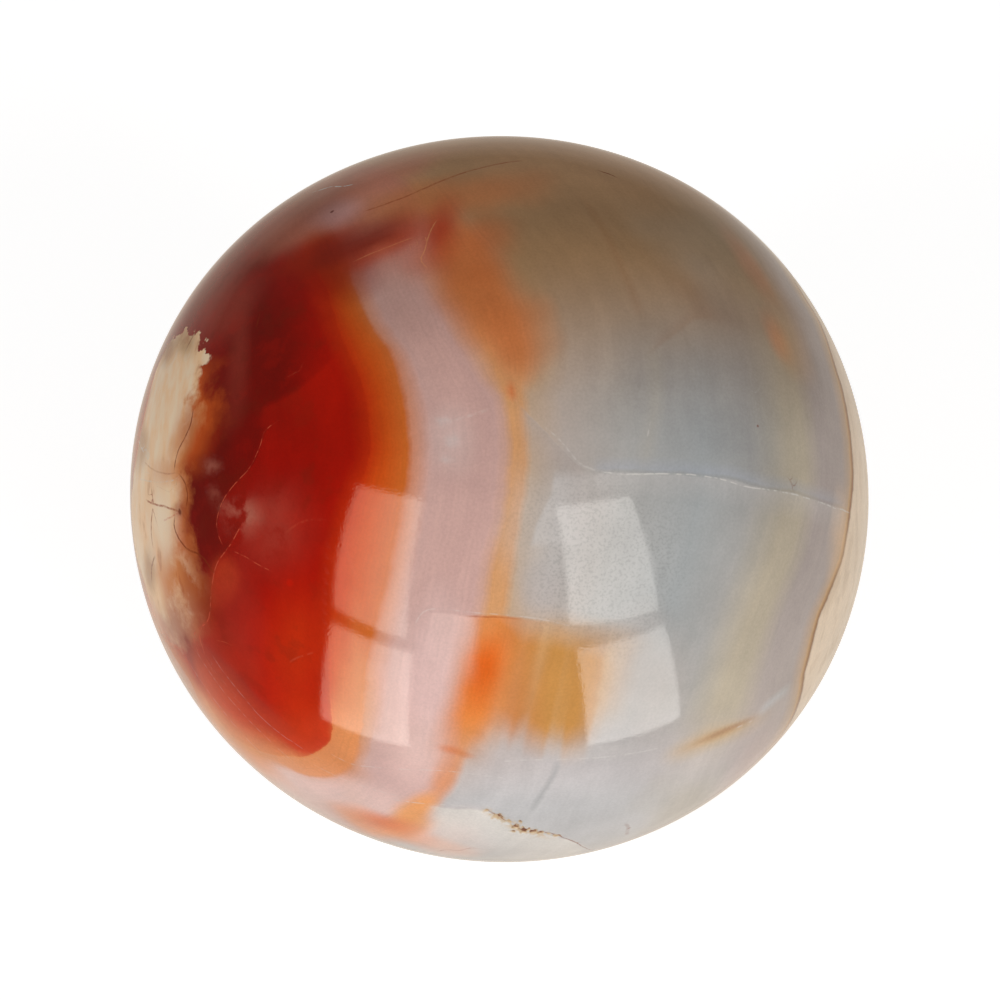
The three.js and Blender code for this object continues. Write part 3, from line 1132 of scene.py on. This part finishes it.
def underCrack(stone, ground):
    # below the second crack the orange band is richer, and it has spread to the right in slanting streaks
    above = stone.pastLine(ochre["crack"], "across")
    softness = stone.step(stone.right, *ochre["topSoftness"])
    below = stone.step(stone.maths("DIVIDE", above, softness), 1.0, -1.0)
    slanting = stone.placed(stone.bent, turn=(0, 0, ochre["slant"]), scale=ochre["streakScale"])
    streaks = stone.noise(slanting, "slantingStreaks")
    reachRight = stone.step(stone.pastLine(ochre["rightEnd"], "down"), *ochre["rightSoft"])
    reachLeft = stone.step(stone.pastLine(ochre["leftEnd"], "down"), *ochre["leftSoft"])
    fromLowEnd = stone.maths("ADD", stone.pastLine(ochre["lowEnd"], "across"),
                             stone.step(streaks, *ochre["streakReach"]))
    # right of its core it begins pale under the crack
    full = stone.step(stone.right, *ochre["paleTop"])
    paleTop = stone.step(above, ochre["paleTopBegins"], full, ochre["paleTopCover"], 1.0)
    patch = stone.times(below, reachRight, reachLeft, stone.step(fromLowEnd, *ochre["lowSoft"]), paleTop,
                        stone.front)
    tint = stone.mix(tone("ochreDeep"), tone("honey"), stone.step(streaks, *ochre["honeyStreaks"]))
    tint = stone.paint(tint, "amber", stone.step(stone.right, *ochre["amberLeft"]))
    ground = stone.mix(ground, tint, stone.times(patch, stone.step(streaks, *ochre["cover"])))
    # its core, richest where it meets the crack
    fromCore = stone.maths("ABSOLUTE", stone.pastLine(ochre["core"], "down"))
    tall = stone.times(stone.step(stone.up, *ochre["coreBottom"]),
                       stone.step(stone.up, *ochre["coreTop"]), below)
    ground = stone.paint(ground, "halo", tall, stone.step(fromCore, *ochre["haloWidth"]), ochre["haloCover"])
    hot = stone.times(stone.step(fromCore, *ochre["flameWidth"]), stone.step(stone.up, *ochre["flameBottom"]),
                      stone.step(stone.up, *ochre["flameTop"]))
    return stone.paint(ground, "flame", hot, below, ochre["flameCover"])


openSeam = {
    "course": [(420, 805), (450, 808), (481, 810), (497, 817), (512, 826), (530, 833), (556, 837),
               (575, 843), (594, 851)],
    "whitish": [(-60, "chalk", 0.0), (-14, "chalk", 0.8), (-1.5, "chalk", 0.8), (1.5, "milk", 0.1),
                (5, "milk", 0.0)],
    "fade": 26,  # pixels
    "crumbsWithin": (0.022, 0.0),
    "crumbsAlong": [(-0.2, 0), (-0.06, 0), (0.0, 0.6), (0.10, 0.6), (0.16, 0), (0.3, 0)],
    "crumbs": (0.42, 0.55),
    "pitRim": (0.05, 0.4, 0.0, 0.8),  # of the deepest pit
    "pitFloor": (0.25, 0.7),
    "pitCrumbs": (0.36, 0.56, 0.1, 0.9),
}


def seam(stone, ground):
    # the open seam low on the face: whitish stone below it, cream crumbs and dark pits along it
    ground = stone.crack(ground, openSeam["course"], "across", openSeam["whitish"], openSeam["fade"])
    near = stone.maths("ABSOLUTE", stone.pastLine(openSeam["course"], "across"))
    along = stone.curve(stone.right, openSeam["crumbsAlong"])
    crumbly = stone.times(stone.step(near, *openSeam["crumbsWithin"]), along, stone.front)
    ground = stone.paint(ground, "crumb", crumbly, stone.step(stone.crumbs, *openSeam["crumbs"]))
    pits = stone.node("Attribute", attribute_name="pitDepth").outputs["Fac"]
    ground = stone.paint(ground, "crumb", stone.step(pits, *openSeam["pitRim"]))
    return stone.paint(ground, "umber", stone.step(pits, *openSeam["pitFloor"]),
                       stone.step(stone.crumbs, *openSeam["pitCrumbs"]))


# Specks: tone, cover, pixel and radius in pixels.
specks = [
    ("umber", 0.85, (181, 512), 4.0), ("umber", 0.8, (332, 211), 3.0), ("umber", 0.7, (356, 166), 2.4),
    ("hair", 0.7, (758, 426), 2.1), ("scarlet", 0.8, (290, 583), 5.0), ("glint", 0.8, (252, 335), 2.0),
    ("hair", 0.7, (629, 829), 2.4),
]
polish = {
    "ior": 1.54,
    "grainHeight": 0.0000035,  # metres
    "bumpStrength": 1.0,
    "roughness": (0.0, 1.1, 0.055, 0.2),  # from the polished chalcedony to the crusts
    "streakRoughness": 0.15,
    "redGleam": (1.0, 2.0),  # layers between which the gleam of the polish turns from red to white
}
# How the whole stone is shaded: a step's two ends and the shade at each.
shading = {
    "clouds": (0.3, 0.7, 0.90, 1.08),
    "fineLayers": (0.3, 0.7, 0.96, 1.03),
    "grain": (0.3, 0.7, 0.96, 1.04),
    # painted speckle in the right box's reflection: the grain's step and how much darker the colour gets
    "paintedGleamSpeckleGrain": (0.48, 0.36, 0.0, 0.10),
    "layersAcross": 9,  # how many times finer the fine layers are than the bands
    "layersAlong": 1.5,
    "rind": (6.0, 6.04),  # layers
    "rindStreaks": (0.48, 0.68, 0.0, 0.22),
}


def shadeOf(stone, layer, grain):
    # clouds in the chalcedony, layers too fine to count, its grain, and a painted speckle where the right
    # box's
    # reflection falls: the grain darkens the colour there, for the pitted polish that shows in that
    # reflection
    clouds = stone.noise(stone.bent, "clouds")
    place = stone.filled("CombineXYZ", stone.times(layer, shading["layersAcross"]),
                         stone.times(stone.up, shading["layersAlong"]), stone.out)
    fineLayers = stone.noise(place, "fineLayers")
    # painted speckle: where the right box's reflection falls, the grain darkens the colour
    paintedGleamSpeckle = stone.node("Attribute", attribute_name="paintedGleamSpeckleCover").outputs["Fac"]
    paintedSpeckle = stone.times(paintedGleamSpeckle, stone.step(grain, *shading["paintedGleamSpeckleGrain"]))
    return stone.times(stone.step(clouds, *shading["clouds"], "LINEAR"),
                       stone.step(fineLayers, *shading["fineLayers"], "LINEAR"),
                       stone.step(grain, *shading["grain"], "LINEAR"), stone.maths("SUBTRACT", 1, paintedSpeckle))


def makeAgate():
    material = bpy.data.materials.new("carnelianAgate")
    material.use_nodes = True
    stone = StoneNodes(material.node_tree)
    shader = material.node_tree.nodes["Principled BSDF"]
    layer, ground = layeredGround(stone)
    ground = greyField(stone, layer, ground)
    ground = redHeart(stone, layer, ground)
    ground = underCrack(stone, ground)
    for runs, points, profile, fade in faceCracks:
        ground = stone.crack(ground, points, runs, profile, fade)
    ground = seam(stone, ground)
    grain = stone.noise(stone.face, "grain")
    ground = stone.mix(ground, shadeOf(stone, layer, grain), 1.0, "MULTIPLY")
    ground, inCrust = creamCrust(stone, ground)
    for speck in specks:
        ground = stone.dot(ground, *speck)
    for name in fineLines:
        ground = stone.lines(ground, name)
    inRind = stone.step(layer, *shading["rind"])
    ground = stone.paint(ground, "tan", inRind, stone.step(stone.streaks, *shading["rindStreaks"]))
    stone.put(ground, shader.inputs["Base Color"])
    # light that enters the red comes back red, which tints the gleam of the polish there
    gleam = stone.mix(tone("gleamRed"), (1, 1, 1, 1), stone.step(layer, *polish["redGleam"]))
    stone.put(gleam, shader.inputs["Specular Tint"])
    # the crusts take less polish than the chalcedony
    matt = stone.maths("ADD", stone.maths("MAXIMUM", inCrust, inRind),
                       stone.times(stone.streaks, polish["streakRoughness"]))
    stone.put(stone.step(matt, *polish["roughness"], "LINEAR"), shader.inputs["Roughness"])
    bump = stone.node("Bump")
    bump.inputs["Strength"].default_value = polish["bumpStrength"]
    bump.inputs["Distance"].default_value = polish["grainHeight"]
    stone.put(grain, bump.inputs["Height"])
    stone.put(bump.outputs["Normal"], shader.inputs["Normal"])
    shader.inputs["IOR"].default_value = polish["ior"]
    return material


stone.data.materials.append(makeAgate())
print("agate laid out")

# Two soft boxes stand in front of the ball, one on each side, and lean over it a little.
softBoxes = {
    "right": {"side": 1, "around": 0.603, "height": 0.344, "turn": 0.54, "lean": 0.23, "roll": -0.10,
              "width": 0.440, "tall": 0.666},
    "left": {"side": -1, "around": 0.679, "height": 0.318, "turn": 0.30, "lean": 0.385, "roll": -0.01,
             "width": 0.413, "tall": 0.702},
}
studio = {
    "boxAway": 0.93,
    "boxLight": 5.3,  # radiance that lights the scene
    "paneLift": 0.0003,
    "fillAway": 1.2,
    "fillLean": math.radians(38),  # it hangs behind the ball, this far from straight above
    "fillSize": 1.0,
    "fillLight": 0.60,
    "room": (0.120, 0.116, 0.113),  # radiance of the room as it lights the ball
    "roomInPolish": (0.110, 0.103, 0.096),
    "floorSize": 8.0,
    "floorTone": (0.86, 0.85, 0.84),
    "floorGlow": 0.80,
    "floorShade": 0.62,
    "floorBelow": 0.0001,  # how far it lies under the ball's flat
    # what the polish shows of the floor, at these distances from the ball
    "floorInPolish": [(0.05, (0.76, 0.67, 0.57)), (0.13, (0.47, 0.395, 0.33)), (0.22, (0.35, 0.295, 0.25)),
                      (0.4, (0.22, 0.19, 0.165)), (1.0, (0.110, 0.103, 0.096))],
    "floorLightWay": (0.4, 0.9, 0),  # it grows as light as this between these two distances along this way
    "floorLightens": (-0.055, -0.01),
}


def makeLamp(title, place, turn, size, radiance):
    # an area light that neither the camera nor the polish shows
    data = bpy.data.lights.new(title, "AREA")
    data.shape = "RECTANGLE"
    data.size, data.size_y = size
    data.energy = radiance * math.pi * size[0] * size[1]
    lamp = bpy.data.objects.new(title, data)
    lamp.location = place
    lamp.rotation_euler = turn
    lamp.visible_camera = lamp.visible_glossy = False
    bpy.context.collection.objects.link(lamp)


def makeSoftBox(name, box):
    place = (
        box["side"] * math.sin(box["around"]) * studio["boxAway"],
        -math.cos(box["around"]) * studio["boxAway"],
        box["height"] + centreHeight,
    )
    stand = Euler((math.pi / 2 - box["lean"], 0, box["side"] * box["turn"])).to_matrix()
    turn = (stand @ Matrix.Rotation(box["roll"], 3, "Z")).to_euler()
    makeLamp(name + "SoftBox", place, turn, (box["width"], box["tall"]), studio["boxLight"])


def makeFill():
    # a dim light above and behind
    away, lean = studio["fillAway"], studio["fillLean"]
    place = (0, away * math.sin(lean), away * math.cos(lean))
    makeLamp("fill", place, (-lean, 0, 0), (studio["fillSize"],) * 2, studio["fillLight"])


# What the polish shows of the soft boxes: the corners of each pane in the photograph, clockwise from the top
# left. The upper two are the boxes themselves, the lower two their images in the glossy table.
panes = {
    "leftBox": {
        "onTable": False,
        "glow": (3.3, 2.9, 2.6),
        "corners": [(358, 485), (423, 500), (407, 640), (333, 607)],
    },
    "rightBox": {
        "onTable": False,
        "glow": (3.5, 3.4, 3.25),
        "corners": [(557, 507), (630, 496), (658, 611), (570, 625)],
    },
    "leftTable": {
        "onTable": True,
        "glow": (3.5, 3.05, 2.75),
        "corners": [(332, 622), (412, 653), (408, 748), (321, 719)],
    },
    "rightTable": {
        "onTable": True,
        "glow": (3.5, 3.4, 3.25),
        "corners": [(577, 649), (664, 625), (680, 717), (587, 746)],
    },
}
nudge = 0.001  # how far apart the ball's slopes are measured, in ball radii


def seenInPolish(x, y, onTable):
    # the camera's ray through pixel x, y is mirrored in the ball, and followed to the boxes or to the table
    outward = outwardAt(x, y)
    normal = outward.copy()
    for side in (faceRight, faceUp, faceOut):
        shift = nudge * (side - (side @ outward) * outward)
        beside = np.array([outward + shift, outward - shift])
        far, near = radiusAlong(beside / np.linalg.norm(beside, axis=1)[:, None])
        normal -= (far - near) / (2 * nudge) / ball["radius"] * side
    normal /= np.linalg.norm(normal)
    place = radiusAlong(outward[None])[0] * outward + ballCentre
    ray = place - cameraPlace
    ray /= np.linalg.norm(ray)
    mirrored = ray - 2 * (ray @ normal) * normal
    reach = -place[2] / mirrored[2] if onTable else studio["boxAway"]
    return place + reach * mirrored + np.array([0, 0, studio["paneLift"]])


def studioMaterial(name, mesh):
    # an empty material for a thing in the studio, which the renderer doesn't take for a lamp
    material = bpy.data.materials.new(name)
    material.use_nodes = True
    material.node_tree.nodes.clear()
    material.cycles.emission_sampling = "NONE"
    mesh.materials.append(material)
    return Wiring(material.node_tree)


def makePane(name, pane):
    corners = [seenInPolish(x, y, pane["onTable"]) for x, y in pane["corners"]]
    mesh = bpy.data.meshes.new(name + "Pane")
    mesh.from_pydata([tuple(corner) for corner in corners], [], [(0, 1, 2, 3)])
    shown = bpy.data.objects.new(name + "Pane", mesh)
    shown.visible_camera = shown.visible_diffuse = shown.visible_shadow = shown.visible_transmission = False
    bpy.context.collection.objects.link(shown)
    wiring = studioMaterial(name + "Gleam", mesh)
    glow = wiring.filled("Emission", (*pane["glow"], 1))
    wiring.put(glow, wiring.node("OutputMaterial").inputs["Surface"])


def makeFloor():
    # the camera sees it nearly white, the polish sees it darken away from the ball, and other light falls on
    # pale paint
    half = studio["floorSize"] / 2
    mesh = bpy.data.meshes.new("floor")
    corners = [(-half, -half, 0), (half, -half, 0), (half, half, 0), (-half, half, 0)]
    mesh.from_pydata(corners, [], [(0, 1, 2, 3)])
    floor = bpy.data.objects.new("floor", mesh)
    bpy.context.collection.objects.link(floor)
    floor.location.z = -studio["floorBelow"]
    wiring = studioMaterial("paleFloor", mesh)
    path = wiring.node("LightPath").outputs
    matt = wiring.filled("BsdfDiffuse", (*studio["floorTone"], 1))
    shade = [studio["floorShade"] * share for share in studio["floorTone"]]
    glow = wiring.filled("Emission", (1, 1, 1, 1), studio["floorGlow"])
    toCamera = wiring.filled("AddShader", glow, wiring.filled("BsdfDiffuse", (*shade, 1)))
    place = wiring.node("TexCoord").outputs["Object"]
    fade, _ = wiring.ramp(wiring.vector("LENGTH", place), studio["floorInPolish"], "EASE")
    along = wiring.vector("DOT_PRODUCT", place, studio["floorLightWay"])
    lighten = wiring.step(along, *studio["floorLightens"])
    inPolish = wiring.filled("Emission", wiring.mix((*studio["roomInPolish"], 1), fade, lighten))
    byRay = wiring.filled("MixShader", path["Is Glossy Ray"], matt, inPolish)
    byRay = wiring.filled("MixShader", path["Is Camera Ray"], byRay, toCamera)
    wiring.put(byRay, wiring.node("OutputMaterial").inputs["Surface"])


def makeRoom():
    # the room lights the ball evenly, and the polish shows it a little darker
    world = bpy.data.worlds.new("room")
    world.use_nodes = True
    world.node_tree.nodes.clear()
    wiring = Wiring(world.node_tree)
    lighting = wiring.filled("Background", (*studio["room"], 1))
    mirrored = wiring.filled("Background", (*studio["roomInPolish"], 1))
    byRay = wiring.filled("MixShader", wiring.node("LightPath").outputs["Is Glossy Ray"], lighting, mirrored)
    wiring.put(byRay, wiring.node("OutputWorld").inputs["Surface"])
    bpy.context.scene.world = world


for name, box in softBoxes.items():
    makeSoftBox(name, box)
for name, pane in panes.items():
    makePane(name, pane)
makeFill()
makeFloor()
makeRoom()
bpy.context.scene.view_settings.view_transform = "Standard"
print("studio set")
